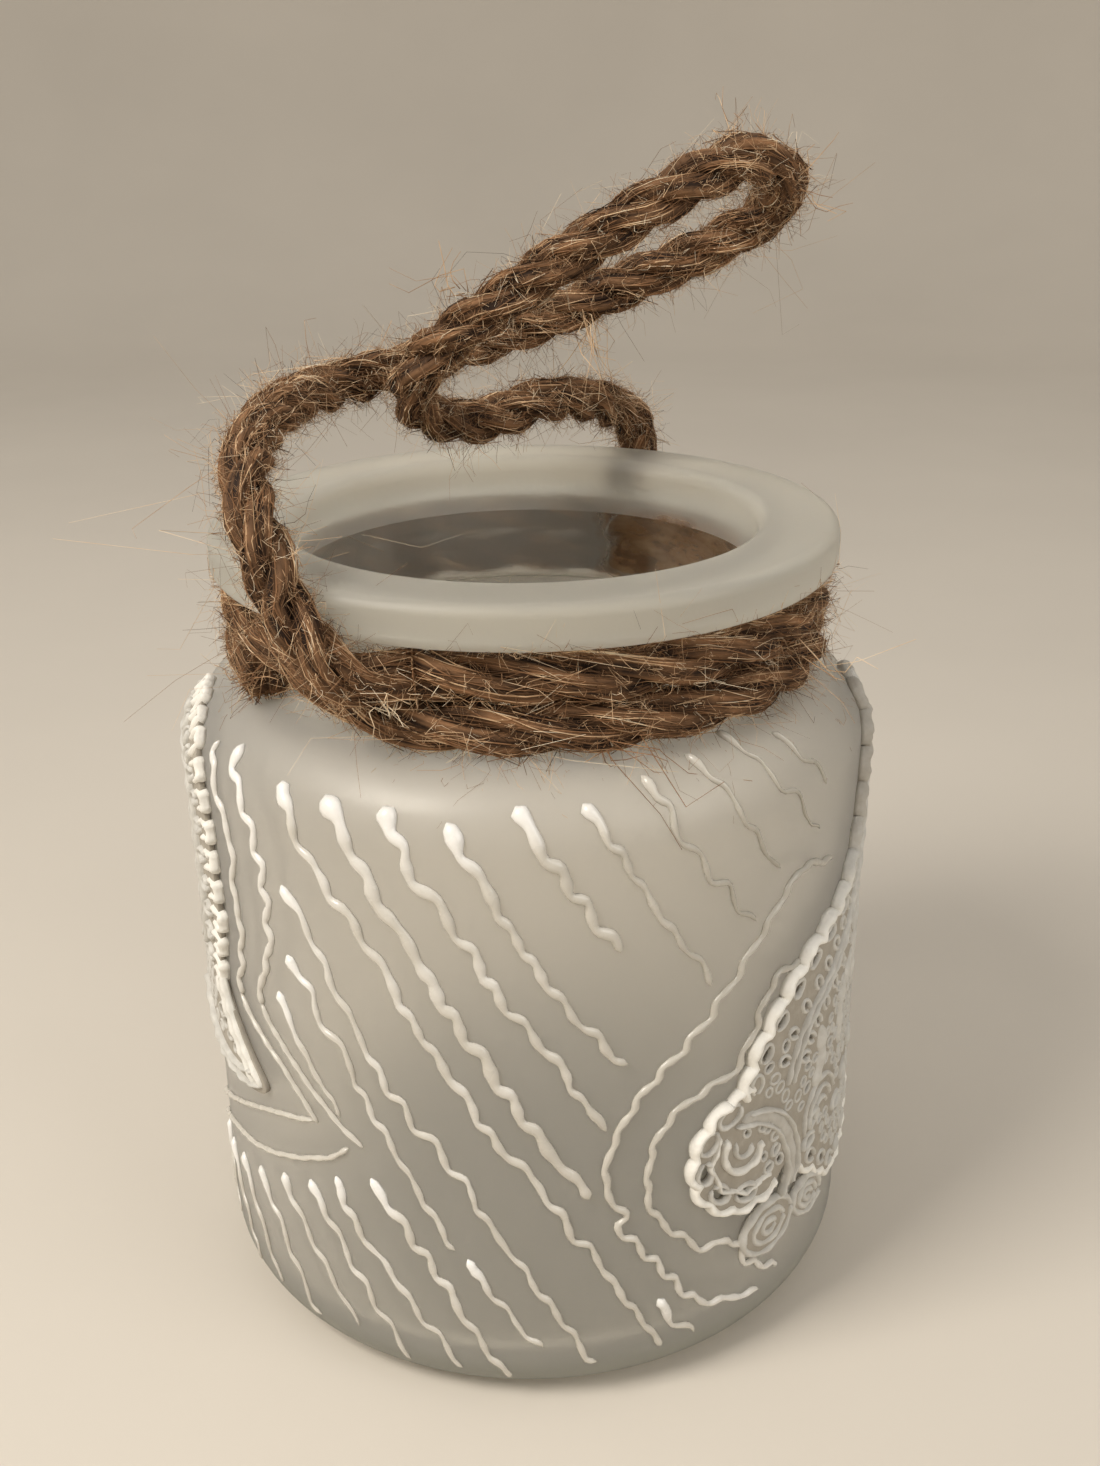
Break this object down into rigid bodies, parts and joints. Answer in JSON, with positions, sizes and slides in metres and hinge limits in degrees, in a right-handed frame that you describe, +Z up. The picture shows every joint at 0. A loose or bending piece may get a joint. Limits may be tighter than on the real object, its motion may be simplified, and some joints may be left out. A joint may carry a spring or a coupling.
{
  "type": "mason jar lantern",
  "caption": "Satin-frosted glass jar lantern with a flat rim, raised wavy paint strokes, lace appliques and a jute rope handle bound round its neck.",
  "frame": {"origin": "centre of the jar's base on the table, measured without the free rope handle", "axes": "+Z up along the jar's axis, out of the mouth; the front with most of the paint strokes is -Y, the right applique is at +X"},
  "size_m": [0.1085, 0.106, 0.1764],
  "materials": {
    "frosted_glass": "satin etched on the outside, faint green-grey in the thick base and rim",
    "jute": "loosely laid jute rope, hairy",
    "clear_glue": "clear hot glue",
    "lace_white": "matt white cast relief paste",
    "contour_paint": "raised white contour paint, satin to glossy"
  },
  "bodies": {
    "jar": {"glass_jar": "frosted_glass", "neck_rope": "jute", "rope_tail": "jute", "rope_glue": "clear_glue", "lace_applique_left": "lace_white", "lace_applique_right": "lace_white", "shoulder_strokes": "contour_paint", "lower_strokes": "contour_paint", "back_strokes": "contour_paint", "left_contour_lines": "contour_paint", "right_contour_lines": "contour_paint"},
    "handle": {"handle_rope": "jute"}
  },
  "joints": [
    {"name": "handle_swing", "type": "hinge", "parent": "jar", "child": "handle", "pos_m": [-0.03202, -0.03982, 0.127], "axis": [0.5143, 0.8576, 0], "range_deg": [-30, 50]}
  ]
}
